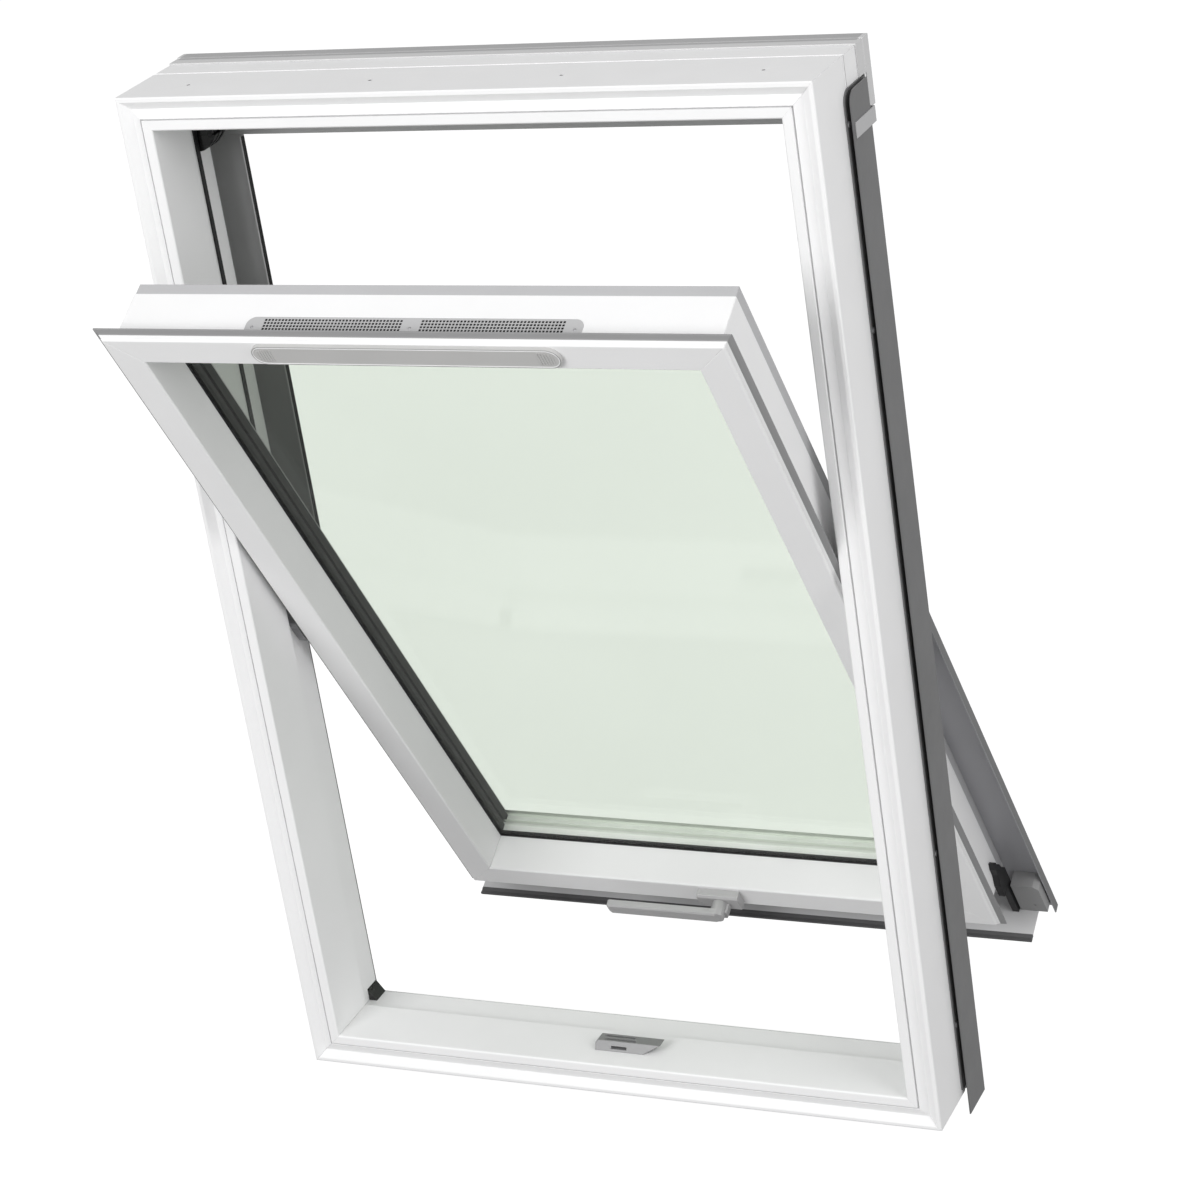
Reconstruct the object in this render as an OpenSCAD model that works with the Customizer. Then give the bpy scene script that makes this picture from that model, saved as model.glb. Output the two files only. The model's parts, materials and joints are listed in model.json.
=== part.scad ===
// Centre-pivot roof window: fixed frame, glazed sash on curved hinge rails, vent flap and handle.
// Millimetres. X runs to the right seen from the room, Y outwards to the weather, Z up along the frame.
// The origin is the middle of the frame's bottom face.

/* [Frame] */
// Width over the frame
frame_w = 780; // [660:10:1140]
// Height over the frame
frame_h = 1180; // [980:10:1400]
// Depth of the frame from the room side to the weather side
frame_d = 121.5; // [116:0.5:130]
// Face width of a frame member
member_w = 37; // [34:0.5:44]
// Depth of the rebate behind the inner lip
rear_d = 48.5; // [46:0.5:52]
// How far the opening widens behind the inner lip
step_w = 10.5; // [9:0.5:14]

/* [Room-side moulding] */
// Width of the flat land along the outer edge
land_w = 5; // [3:0.5:8]
// Distance of the cove's lowest line from the outer edge
cove_d = 14; // [11:0.5:17]
// Depth of the cove
cove_y = 7; // [4:0.5:9]
// Distance of the lining slot from the outer edge
slot_d = 24; // [20:0.5:27]
// Width of the lining slot
slot_w = 1.6; // [1:0.2:3]
// Depth of the lining slot
slot_y = 7; // [5:0.5:12]
// Setback of the inner lip's front face
lip_y = 2; // [1:0.25:3]
// Bevel on the edges of a frame member
edge_r = 1.4; // [0.8:0.2:2]
// Distance of the line on the outer faces from the back
line_back = 38.5; // [36:0.5:42]
// Width of the line on the outer faces
line_w = 3.6; // [2:0.2:5]
// Depth of the line on the outer faces
line_dp = 0.8; // [0.4:0.1:1.5]

/* [Head fixing holes] */
// Distance between neighbouring holes
head_hole_pitch = 216; // [160:2:220]
// Distance of the holes from the front
head_hole_y = 42.7; // [35:0.1:50]
// Hole radius
head_hole_r = 2.2; // [1.5:0.1:3.5]
// Hole depth
head_hole_dp = 24; // [15:1:30]

/* [Sash] */
// How far the sash stands open
open_angle = 30; // [0:1:45]
// How far the closed sash's front stands before the rebate
sash_lead = 5; // [3:0.5:7]
// Gap beside the sash's front
side_gap = 8.8; // [8.6:0.1:11]
// Gap above and below the sash's front
end_gap = 12.5; // [12:0.25:16]
// Face width of a sash member
stile_w = 36.6; // [34:0.2:42]
// Depth of a sash member
sash_d = 69; // [66:0.5:72]
// Thickness of the lip around the sash's front
sash_lip = 8; // [6:0.5:10]
// Inset of the sash body behind that lip
body_e = 9.2; // [8.6:0.2:10]
// Bevel on the edges of a sash member
sash_r = 1.6; // [1:0.2:2.4]
// Reach of the edge gasket past the lip
gasket_tip = 8; // [6:0.25:8.2]

/* [Glazing] */
// Depth of the glass seat
glass_y = 48.8; // [44:0.2:52]
// Thickness of one pane
pane_t = 4; // [3:0.5:5]
// Gap between two panes
pane_gap = 10; // [8:0.5:12]
// Inset of the rebate wall that holds the glass
rebate_e = 21.6; // [19:0.2:24]
// Clearance around the panes
pane_fit = 0.4; // [0.3:0.1:1]
// How far the spacers show inside the reveal
spacer_show = 1.5; // [1:0.5:14]
// Width of a spacer bar
spacer_w = 12; // [8:0.5:16]

/* [Weather side] */
// Thickness of the sheet covers
sheet_t = 1.5; // [1:0.1:2]
// Inset of the glazing caps
cap_e = 10.2; // [9.4:0.2:12]
// Width of the glazing caps
cap_w = 24; // [18:0.5:30]
// Gap between the closed sash and the covers behind it
cover_gap = 1.2; // [0.8:0.1:4]
// Distance of the covers' side walls from the outer faces
cover_in = 6; // [4:0.5:8]
// Gap between the sash and the upper side covers
cover_clear = 4; // [2:0.5:8]
// How far the head cover hangs below the top
head_cover_h = 89; // [70:1:110]
// How far the skirts stay inside the frame's outer faces
skirt_in = 8.5; // [6:0.5:14]
// How far the skirts end below the turning axis
skirt_top = 4; // [3:0.5:12]
// Height of the joint between upper and lower covers above the turning axis
cover_split = 11; // [8:0.5:20]
// Depth of the fold along a skirt
skirt_fold = 11; // [6:0.5:14]
// How far the skirts reach below the sash's front
skirt_drop = 86; // [75:1:95]
// How far the apron ledge lies below the sash's front
ledge_drop = 66; // [60:1:72]
// How far the apron ledge stays inside the frame's outer faces
ledge_in = 23.5; // [18:0.5:30]
// Distance of the ledge's front from the sash's front
ledge_y = 28; // [24:0.5:34]
// Width of the dark lip on the ledge
ledge_lip = 9.2; // [6:0.2:12]

/* [Side channels] */
// Width of a side channel over its two legs
channel_w = 8; // [6:0.5:12]
// Depth of a side channel
channel_d = 50.5; // [46:0.5:54]
// How far the channels reach below the frame
channel_drop = 22.5; // [10:0.5:30]
// How far the channels end below the top
channel_top = 33; // [25:1:45]
// Height of the strap round a channel
strap_h = 16; // [10:0.5:22]
// Distance of the strap below the top
strap_top = 65; // [55:1:90]
// How far the strap passes the back of the channel
strap_back = 10; // [4:0.5:12]
// Height of the lowest channel screws above the bottom
screw_foot = 90; // [60:2:140]
// Height of the lower channel screws below the turning axis
screw_low = 286; // [200:2:320]
// Height of the middle channel screws above the turning axis
screw_mid = 310; // [220:2:340]
// Distance of the upper channel screws below the top
screw_top = 67; // [55:1:90]

/* [Hinge] */
// Distance of the turning axis behind the sash's front
hinge_back = 153.8; // [148:0.2:160]
// Width of the curved rib
rib_w = 10; // [7:0.5:12]
// Clearance on each side of the rib
rib_fit = 0.5; // [0.4:0.05:1]
// Thickness of the rail's walls
rail_wall = 4; // [3:0.5:5]
// Half of the rail's arc in degrees
rail_half = 36; // [34:0.5:38]
// Arc of the rib in degrees
rib_arc = 25; // [18:0.5:26]
// Thickness of the hinge plates
hinge_t = 3; // [2:0.25:4]

/* [Vent] */
// Length of the vent flap
flap_w = 342; // [260:2:380]
// Height of the vent flap
flap_h = 28; // [22:0.5:30]
// Thickness of the vent flap
flap_t = 4; // [3:0.25:6]
// Distance of the flap from the sash's top edge
flap_top = 2.5; // [1.5:0.25:4]
// Length of the grille plate
grille_w = 374; // [320:2:420]
// Width of the grille plate
grille_d = 26; // [22:0.5:30]
// Pitch of the grille's holes
grille_pitch = 3.84; // [3.4:0.02:4.4]
// Side of a grille hole
grille_hole = 2.7; // [1.6:0.1:2.8]
// Columns of holes in each half
grille_cols = 41; // [30:1:42]
// Rows of holes
grille_rows = 4; // [3:1:5]

/* [Handle and keeper] */
// Length of the handle bar
bar_l = 147; // [110:1:170]
// Height of the handle bar
bar_h = 19; // [14:0.5:22]
// Thickness of the handle bar
bar_t = 9; // [7:0.5:11]
// Gap between the handle bar and the sash
bar_gap = 25; // [22:0.5:30]
// Height of the handle's pivot above the sash's bottom edge
pivot_up = 19.5; // [18:0.5:22]
// Radius of the handle's pivot pin
pivot_r = 4; // [3:0.25:5]
// Radial clearance of the pivot pin
pivot_fit = 0.06; // [0.02:0.01:0.09]
// Width of the handle bracket
bracket_w = 54; // [44:1:64]
// Height of the handle bracket
bracket_h = 24; // [20:0.5:28]
// Depth of the handle bracket
bracket_d = 12; // [9:0.5:14]
// Width of the keeper
keeper_w = 81; // [64:1:100]
// Height of the keeper
keeper_h = 11; // [8:0.5:11.5]
// Depth of the keeper
keeper_d = 20; // [16:0.5:24]
// Distance of the keeper from the front
keeper_y = 30; // [20:0.5:34]

/* [Hidden] */
$fn = 48;
// Room for cutting tools to pass through a face
cut = 1;
// Clearance between neighbouring pieces of one body
seat = 0.3;
step_d = member_w - step_w;
step_y = frame_d - rear_d;
line_y = frame_d - line_back;
sash_setback = step_y - sash_lead;
channel_y = frame_d - channel_d;
open_w = frame_w - 2 * member_w;
open_h = frame_h - 2 * member_w;
sash_w = open_w - 2 * side_gap;
sash_h = open_h - 2 * end_gap;
sash_bottom = (frame_h - sash_h) / 2;
sash_top = sash_bottom + sash_h;
unit_t = 3 * pane_t + 2 * pane_gap;
cap_back = glass_y + unit_t + sheet_t;
cap_x = sash_w / 2 - cap_e;
skirt_x = frame_w / 2 - skirt_in;
ledge_x = frame_w / 2 - ledge_in;
ledge_z = sash_bottom - ledge_drop;
pane_e = rebate_e + pane_fit;
spacer_e = stile_w + spacer_show;
axis_y = sash_setback + hinge_back;
axis_z = frame_h / 2;
cover_y = sash_setback + cap_back + cover_gap;
cover_edge = frame_w / 2 - cap_x - cover_clear;
rail_edge = 2.4;
rail_out = axis_y - step_y - rail_edge;
rib_out = rail_out - rail_wall - rib_fit;
rib_in = rib_out - rib_w;
rail_in = rib_in - rib_fit - rail_wall;
rail_depth = 7.5;
wall_x = frame_w / 2 - step_d;
rib_gap = 1;
strap_t = 1.2;
gasket_t = 2;
gasket_foot = 5;
gasket_y = step_y + 19;
gasket_w = 6;
seal_y = gasket_y + gasket_w + 0.5;
seal_gap = 2;
hinge_reach = rail_out * sin(rail_half) + 4;
grille_t = 0.6;
duct_w = grille_w - 2 * grille_d;
duct_d = grille_pitch * (grille_rows + 0.5);
duct_y = sash_lip + gasket_foot + grille_d - duct_d;
duct_h = 12;
filter_h = 6;
pivot_z = sash_bottom + pivot_up;
pivot_x = 2;
keeper_x = -33;

WHITE = [0.93, 0.93, 0.94];
LIGHT = [0.78, 0.78, 0.79];
DARK = [0.42, 0.42, 0.43];
STRIP = [0.70, 0.70, 0.72];
BLACK = [0.10, 0.10, 0.11];
GREY = [0.62, 0.62, 0.63];
GLASS = [0.80, 0.88, 0.80, 0.5];

// Section of a frame member as [depth from the front, distance from the outer face]
frame_section = [
    [edge_r, 0], [0, edge_r], [0, land_w], [cove_y, cove_d],
    [lip_y + 1, slot_d], [slot_y, slot_d], [slot_y, slot_d + slot_w], [lip_y, slot_d + slot_w],
    [lip_y, member_w - edge_r], [lip_y + edge_r, member_w],
    [step_y, member_w], [step_y, step_d], [frame_d, step_d], [frame_d, 0],
    [line_y + line_w, 0], [line_y + line_w, line_dp], [line_y, line_dp], [line_y, 0]];

// Section of a sash member as [depth from the sash's front, distance from its edge]
sash_section = [
    [sash_r, 0], [0, sash_r], [0, stile_w - sash_r], [sash_r, stile_w],
    [glass_y, stile_w], [glass_y, rebate_e], [sash_d, rebate_e], [sash_d, body_e],
    [sash_lip, body_e], [sash_lip, 0]];

// Section of the edge gasket: a sloping lip with a foot behind the sash's front lip
gasket_front = 2.5;
gasket_edge = 1.6;
gasket_bend = 3.4;
gasket_section = [
    [gasket_front, 0], [gasket_front + gasket_bend, -gasket_bend], [sash_lip, -gasket_tip],
    [sash_lip + gasket_edge, -gasket_tip],
    [sash_lip + gasket_edge, -gasket_tip / 4], [sash_lip + gasket_foot, body_e / 2],
    [sash_lip + gasket_foot, body_e], [sash_lip, body_e], [sash_lip, 0]];

// Section of a glazing cap: a wall on the sash body and a flange over the glass
cap_section = [
    [sash_d, cap_e], [cap_back, cap_e], [cap_back, cap_e + cap_w], [cap_back - sheet_t, cap_e + cap_w],
    [cap_back - sheet_t, cap_e + sheet_t], [sash_d, cap_e + sheet_t]];

// Section of the head trim: a flat foot on the frame, a raised bead and a short fold at the back
trim_foot = 3.5;
trim_flat = 14.5;
trim_rise = 0.8;
trim_fold = 4;
trim_back = cover_y;
trim_bead = frame_d + trim_flat;
bead_section = [
    [trim_bead + trim_rise, -trim_rise - sheet_t], [trim_back, -trim_rise - sheet_t],
    [trim_back, trim_fold], [trim_back - sheet_t, trim_fold], [trim_back - sheet_t, -trim_rise],
    [trim_bead + trim_rise, -trim_rise]];
trim_section = [
    [frame_d - trim_foot, -sheet_t], [trim_bead, -sheet_t],
    [trim_bead + trim_rise, -trim_rise - sheet_t], [trim_back, -trim_rise - sheet_t],
    [trim_back, trim_fold], [trim_back - sheet_t, trim_fold], [trim_back - sheet_t, -trim_rise],
    [trim_bead + trim_rise, -trim_rise], [trim_bead, 0], [frame_d - trim_foot, 0]];

// Moves a piece drawn from the frame's front face into the shared frame
module seated() {
    translate([0, -frame_d / 2, 0]) children();
}

// Turns a piece of the closed sash about the hinge axis
module swung() {
    seated() translate([0, axis_y, axis_z]) rotate([open_angle, 0, 0])
        translate([0, sash_setback - axis_y, -axis_z]) children();
}

// Extrudes a section drawn in Y and Z along X
module along_x(length) {
    rotate([90, 0, 90]) linear_extrude(height = length, center = true) children();
}

// Extrudes an outline drawn in X and Z towards the weather
module along_y(depth) {
    mirror([0, 1, 0]) rotate([90, 0, 0]) linear_extrude(height = depth) children();
}

// One mitred side of a rectangle: 0 bottom, 1 left, 2 top, 3 right
module mitred(side, w, h, section, outer, inner) {
    run = side % 2 == 0 ? w : h;
    across = side % 2 == 0 ? h : w;
    reach = 3 * frame_d;
    translate([0, 0, frame_h / 2]) rotate([0, 90 * side, 0]) translate([0, 0, -across / 2])
        intersection() {
            along_x(run + 2 * outer) polygon(section);
            translate([0, -reach / 2, 0]) along_y(2 * reach) polygon([
                [-run / 2 - outer, -outer], [run / 2 + outer, -outer],
                [run / 2 - inner, inner], [-run / 2 + inner, inner]]);
        }
}

module on_both_sides(right) {
    mirror([right ? 0 : 1, 0, 0]) children();
}

module frame_member(side) {
    mitred(side, frame_w, frame_h, frame_section, 0, member_w);
}

module sash_member(side) {
    mitred(side, sash_w, sash_h, sash_section, 0, stile_w);
}

// Fixed frame

module frame_head() {
    color(WHITE) seated() difference() {
        frame_member(2);
        for (i = [-1.5:1:1.5])
            translate([i * head_hole_pitch, head_hole_y, frame_h - head_hole_dp])
                cylinder(h = head_hole_dp + cut, r = head_hole_r);
    }
}

module frame_sill() {
    color(WHITE) seated() frame_member(0);
}

module frame_jamb_left() {
    color(WHITE) seated() frame_member(1);
}

module frame_jamb_right() {
    color(WHITE) seated() frame_member(3);
}

// Light strip over the head whose ends run down both corners
module head_trim() {
    inner = trim_fold;
    outer = trim_rise + sheet_t;
    leg_z = frame_h - channel_top;
    bead_z = frame_h - strap_top - strap_h / 4;
    color(LIGHT) seated() {
        mitred(2, frame_w, frame_h, trim_section, outer, inner);
        for (side = [1, 3]) {
            intersection() {
                mitred(side, frame_w, frame_h, trim_section, outer, inner);
                translate([-frame_w, 0, leg_z]) cube([2 * frame_w, 2 * frame_d, frame_h]);
            }
            intersection() {
                mitred(side, frame_w, frame_h, bead_section, outer, inner);
                translate([-frame_w, 0, bead_z]) cube([2 * frame_w, 2 * frame_d, leg_z - bead_z]);
            }
        }
    }
}

// Dark cover behind the head with side walls on the frame's weather face
module head_cover() {
    half = frame_w / 2 - cover_in;
    low = frame_h - head_cover_h;
    high = frame_h - cover_in;
    hem = 5;
    color(DARK) seated() {
        translate([-half, cover_y, low]) cube([2 * half, sheet_t, high - low]);
        translate([-half, cover_y, low]) cube([2 * half, hem, sheet_t]);
        translate([-half, frame_d, high - sheet_t]) cube([2 * half, cover_y - frame_d + sheet_t, sheet_t]);
        for (x = [-half, half - sheet_t])
            translate([x, frame_d, low]) cube([sheet_t, cover_y - frame_d + sheet_t, high - low]);
    }
}

// Dark channel along a jamb: one leg flat on the frame, one standing off
module side_channel(right) {
    top = frame_h - channel_top;
    inner_low = 8;
    corner_r = 14;
    on_both_sides(right) seated() difference() {
        translate([frame_w / 2, channel_y, -channel_drop])
            cube([channel_w, frame_d - channel_y, top + channel_drop]);
        translate([frame_w / 2 + sheet_t, channel_y - cut, -channel_drop - cut])
            cube([channel_w - 2 * sheet_t, frame_d - channel_y - sheet_t + cut,
                top + channel_drop + 2 * cut]);
        translate([frame_w / 2 - cut, channel_y - cut, -channel_drop - cut])
            cube([sheet_t + cut, frame_d, channel_drop + inner_low + cut]);
        translate([frame_w / 2 - cut, channel_y, top - corner_r]) rotate([90, 0, 90])
            linear_extrude(height = channel_w + 2 * cut) difference() {
                translate([-cut, 0]) square([corner_r + cut, corner_r + cut]);
                translate([corner_r, 0]) circle(r = corner_r);
            }
    }
}

module side_channel_left() {
    color(DARK) side_channel(false);
}

module side_channel_right() {
    color(DARK) side_channel(true);
}

// Dark cover behind the upper half of a jamb
module upper_cover(right) {
    low = axis_z + cover_split;
    high = frame_h - head_cover_h;
    out_x = frame_w / 2 - cover_in;
    edge_x = frame_w / 2 - cover_edge;
    lip = 6;
    on_both_sides(right) seated() translate([0, 0, low]) linear_extrude(height = high - low) polygon([
        [out_x, frame_d], [out_x, cover_y + sheet_t], [edge_x, cover_y + sheet_t], [edge_x, cover_y - lip],
        [edge_x + sheet_t, cover_y - lip], [edge_x + sheet_t, cover_y], [out_x - sheet_t, cover_y],
        [out_x - sheet_t, frame_d]]);
}

module upper_cover_left() {
    color(DARK) upper_cover(false);
}

module upper_cover_right() {
    color(DARK) upper_cover(true);
}

// Flat cover on the weather face of the lower half of a jamb
module lower_cover(right) {
    edge = 2;
    high = axis_z + cover_split;
    on_both_sides(right) seated() translate([wall_x, frame_d, step_d])
        cube([step_d - edge, sheet_t, high - step_d]);
}

module lower_cover_left() {
    color(DARK) lower_cover(false);
}

module lower_cover_right() {
    color(DARK) lower_cover(true);
}

// Flat cover on the weather face of the sill with a drip edge
module sill_cover() {
    edge = 2;
    drip = 10;
    color(DARK) seated() translate([-frame_w / 2 + edge, frame_d, -drip])
        cube([frame_w - 2 * edge, sheet_t, step_d + drip]);
}

// Bent strap that holds the top of a side channel
module strap(right) {
    out_x = frame_w / 2 + channel_w;
    start = channel_y + 4;
    fold = 4;
    on_both_sides(right) seated() translate([0, 0, frame_h - strap_top - strap_h])
        linear_extrude(height = strap_h) {
            translate([out_x, start]) square([strap_t, frame_d + strap_back - start]);
            translate([out_x - fold, frame_d + strap_back - strap_t]) square([fold, strap_t]);
        }
}

module strap_left() {
    color(LIGHT) strap(false);
}

module strap_right() {
    color(LIGHT) strap(true);
}

// Screws that hold the side channels' flat legs
module cover_screws() {
    head_r = 3.6;
    head_h = 2;
    screw_y = channel_y + 5;
    heights = [screw_foot, axis_z - screw_low, axis_z + screw_mid, frame_h - screw_top];
    color(GREY) seated() for (right = [false, true]) on_both_sides(right)
        for (z = heights) translate([frame_w / 2 + sheet_t, screw_y, z]) rotate([0, 90, 0]) {
            cylinder(h = head_h / 2, r = head_r);
            translate([0, 0, head_h / 2]) cylinder(h = head_h / 2, r1 = head_r, r2 = head_r / 2);
        }
}

// Dark strip on the step wall of the upper half of a jamb
module jamb_gasket(right) {
    low = axis_z + hinge_reach;
    on_both_sides(right) seated() translate([wall_x - gasket_t, gasket_y, low])
        cube([gasket_t, gasket_w, frame_h - step_d - low]);
}

module jamb_gasket_left() {
    color(BLACK) jamb_gasket(false);
}

module jamb_gasket_right() {
    color(BLACK) jamb_gasket(true);
}

module head_gasket() {
    half = wall_x - gasket_t;
    color(BLACK) seated() translate([-half, gasket_y, frame_h - step_d - gasket_t])
        cube([2 * half, gasket_w, gasket_t]);
}

// Black seal in an upper corner of the frame, hollowed to a curve with grooves along it
module corner_seal_top(right) {
    leg_w = wall_x - sash_w / 2 + body_e - seal_gap;
    leg_h = 46;
    arm_w = 45;
    arm_h = member_w - step_d + end_gap + body_e - seal_gap;
    depth = frame_d - seal_y;
    ridge = 1.6;
    hollow = norm([arm_w - leg_w, leg_h - arm_h]);
    on_both_sides(right) seated() translate([wall_x - arm_w, seal_y, frame_h - step_d - leg_h])
        difference() {
            along_y(depth) difference() {
                square([arm_w, leg_h]);
                circle(r = hollow, $fn = 96);
            }
            for (i = [1:3]) translate([0, i * depth / 4 - ridge / 2, 0]) along_y(ridge)
                circle(r = hollow + ridge, $fn = 96);
        }
}

module corner_seal_top_left() {
    color(BLACK) corner_seal_top(false);
}

module corner_seal_top_right() {
    color(BLACK) corner_seal_top(true);
}

module corner_seal_bottom(right) {
    size = 15;
    on_both_sides(right) seated() translate([wall_x, seal_y, step_d]) along_y(frame_d - seal_y)
        polygon([[0, 0], [-0.7 * size, 0], [0, size]]);
}

module corner_seal_bottom_left() {
    color(BLACK) corner_seal_bottom(false);
}

module corner_seal_bottom_right() {
    color(BLACK) corner_seal_bottom(true);
}

// Block on the sill that the latch drops behind, with two slots above and one in front
module keeper() {
    slant = 21;
    lean = 5;
    slot_l = 37;
    slot_h = 3;
    slot_dp = 4;
    corner = 3;
    color(GREY) seated() translate([keeper_x, keeper_y, member_w]) difference() {
        along_y(keeper_d) polygon([[0, 0], [keeper_w - slant, 0], [keeper_w, keeper_h],
            [corner, keeper_h], [0, keeper_h - corner]]);
        translate([keeper_w / 2, 0, 0]) along_x(2 * keeper_w)
            polygon([[-cut, -cut], [0, 0], [lean, keeper_h], [lean, keeper_h + cut], [-cut, keeper_h + cut]]);
        for (row = [0, 1]) translate([12 - 3 * row, lean + 2.5 + 6.5 * row, keeper_h - slot_dp])
            cube([slot_l, slot_h, slot_dp + cut]);
        translate([keeper_w / 4, -cut, keeper_h / 4]) cube([slot_l / 2, slot_dp + lean, slot_h]);
    }
}

// Part of a ring about the hinge axis, drawn in Y and Z
module arc_2d(inner, outer, from, to) {
    far = 2 * outer;
    middle = (from + to) / 2;
    intersection() {
        difference() {
            circle(r = outer, $fn = 128);
            circle(r = inner, $fn = 128);
        }
        polygon([[0, 0], far * [cos(from), sin(from)], far * [cos(middle), sin(middle)],
            far * [cos(to), sin(to)]]);
    }
}

// Curved rail on a jamb: a plate with two walls that guide the rib
module hinge_rail(right) {
    from = 180 - rail_half;
    to = 180 + rail_half;
    base = wall_x - hinge_t;
    on_both_sides(right) seated() translate([0, axis_y, axis_z]) rotate([90, 0, 90]) {
        translate([0, 0, base]) linear_extrude(height = hinge_t) arc_2d(rail_in, rail_out, from, to);
        translate([0, 0, base - rail_depth]) linear_extrude(height = rail_depth + hinge_t) {
            arc_2d(rail_in, rail_in + rail_wall, from, to);
            arc_2d(rail_out - rail_wall, rail_out, from, to);
        }
    }
}

module hinge_rail_left() {
    color(GREY) hinge_rail(false);
}

module hinge_rail_right() {
    color(GREY) hinge_rail(true);
}

// Sash

module sash_top_rail() {
    color(WHITE) swung() difference() {
        sash_member(2);
        translate([-duct_w / 2, duct_y, sash_top - body_e - duct_h])
            cube([duct_w, duct_d, duct_h + cut]);
        translate([-duct_w / 2, -cut, sash_top - body_e - duct_h])
            cube([duct_w, duct_y + 2 * cut, duct_h - filter_h]);
    }
}

module sash_bottom_rail() {
    color(WHITE) swung() sash_member(0);
}

module sash_stile_left() {
    color(WHITE) swung() sash_member(1);
}

module sash_stile_right() {
    color(WHITE) swung() sash_member(3);
}

module sash_gasket(side) {
    color(GREY) swung() mitred(side, sash_w, sash_h, gasket_section, gasket_tip, body_e);
}

module sash_gasket_top() {
    sash_gasket(2);
}

module sash_gasket_bottom() {
    sash_gasket(0);
}

module sash_gasket_left() {
    sash_gasket(1);
}

module sash_gasket_right() {
    sash_gasket(3);
}

module glazing_cap(side) {
    color(STRIP) swung() mitred(side, sash_w, sash_h, cap_section, 0, cap_e + cap_w);
}

module glazing_cap_top() {
    glazing_cap(2);
}

module glazing_cap_bottom() {
    glazing_cap(0);
}

module glazing_cap_left() {
    glazing_cap(1);
}

module glazing_cap_right() {
    glazing_cap(3);
}

module pane(level) {
    color(GLASS) swung()
        translate([-sash_w / 2 + pane_e, glass_y + level * (pane_t + pane_gap), sash_bottom + pane_e])
            cube([sash_w - 2 * pane_e, pane_t, sash_h - 2 * pane_e]);
}

module pane_inner() {
    pane(0);
}

module pane_middle() {
    pane(1);
}

module pane_outer() {
    pane(2);
}

// Black bar frame between two panes
module spacer(level) {
    outer_e = spacer_e - spacer_w;
    color(BLACK) swung()
        translate([0, glass_y + pane_t + level * (pane_t + pane_gap), frame_h / 2]) along_y(pane_gap)
            difference() {
                square([sash_w - 2 * outer_e, sash_h - 2 * outer_e], center = true);
                square([sash_w - 2 * spacer_e, sash_h - 2 * spacer_e], center = true);
            }
}

module spacer_inner() {
    spacer(0);
}

module spacer_outer() {
    spacer(1);
}

// Sheet beside the lower half of the sash, folded along its outer edge
module skirt(right) {
    low = sash_bottom - skirt_drop;
    high = axis_z - skirt_top;
    on_both_sides(right) translate([0, 0, low]) linear_extrude(height = high - low) polygon([
        [cap_x, cap_back - sheet_t], [skirt_x - sheet_t, cap_back - sheet_t],
        [skirt_x - sheet_t, cap_back - skirt_fold], [skirt_x, cap_back - skirt_fold],
        [skirt_x, cap_back], [cap_x, cap_back]]);
}

module skirt_left() {
    color(DARK) swung() skirt(false);
}

module skirt_right() {
    color(DARK) swung() skirt(true);
}

// Bottom sheet with a ledge that reaches under the frame
module apron() {
    color(LIGHT) swung() {
        translate([-cap_x, cap_back - sheet_t, ledge_z - sheet_t])
            cube([2 * cap_x, sheet_t, sash_bottom + cap_e - ledge_z + sheet_t]);
        translate([-ledge_x, ledge_y, ledge_z - sheet_t])
            cube([2 * ledge_x, cap_back - sheet_t - ledge_y, sheet_t]);
    }
}

// Dark strip along the ledge's front edge with a low ridge
module apron_lip() {
    rim = 1;
    color(BLACK) swung() translate([0, ledge_y, ledge_z]) along_x(2 * ledge_x) polygon([
        [0, rim], [-ledge_lip / 2, 0], [-ledge_lip, rim], [-ledge_lip, -sheet_t - rim],
        [0, -sheet_t - rim]]);
}

// Corner block between a skirt and the ledge
module apron_block(right) {
    block_w = 33;
    block_d = 20.5;
    block_h = 57;
    block_x = cap_x + 11;
    corner = 6;
    on_both_sides(right) difference() {
        translate([block_x, cap_back - sheet_t - block_d, ledge_z]) along_y(block_d)
            polygon([[0, 0], [block_w, 0], [block_w, block_h - corner], [block_w - corner, block_h],
                [0, block_h]]);
        translate([block_x + 0.62 * block_w, cap_back - sheet_t - block_d - cut, ledge_z + 14])
            rotate([-90, 0, 0]) cylinder(h = 2, r = 1.6);
    }
}

module apron_block_left() {
    color(LIGHT) swung() apron_block(false);
}

module apron_block_right() {
    color(LIGHT) swung() apron_block(true);
}

// Black closure on the lower end of a stile
module closure(right) {
    wall = sash_w / 2 - body_e;
    thick = 8;
    foot_y = frame_d + sheet_t - sash_setback + 2;
    low = sash_bottom - 7;
    on_both_sides(right) {
        translate([wall, sash_d, low]) rotate([90, 0, 90]) linear_extrude(height = thick) polygon([
            [-25, 0], [0, 0], [0, 26], [-6, 34], [-8, 46], [-13, 50], [-13, 58], [-17, 61],
            [-20, 52], [-20, 40], [-25, 24]]);
        translate([wall, foot_y, ledge_z]) cube([thick, sash_d - foot_y, low - ledge_z]);
    }
}

module closure_left() {
    color(BLACK) swung() closure(false);
}

module closure_right() {
    color(BLACK) swung() closure(true);
}

// Plate on a stile with the curved rib that slides in the rail
module hinge_arm(right) {
    wall = sash_w / 2 - body_e;
    from = 180 - rail_half + 1;
    to = from + rib_arc;
    plate_y = sash_lip + gasket_foot + seat;
    plate_d = 40;
    plate_z = 13;
    plate_h = 80;
    rib_x = wall_x - hinge_t - rib_gap;
    on_both_sides(right) {
        translate([wall, plate_y, axis_z + plate_z]) cube([hinge_t, plate_d, plate_h]);
        translate([wall, axis_y - sash_setback, axis_z]) rotate([90, 0, 90])
            linear_extrude(height = rib_x - wall) arc_2d(rib_in, rib_out, from, to);
    }
}

module hinge_arm_left() {
    color(GREY) swung() hinge_arm(false);
}

module hinge_arm_right() {
    color(GREY) swung() hinge_arm(true);
}

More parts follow.
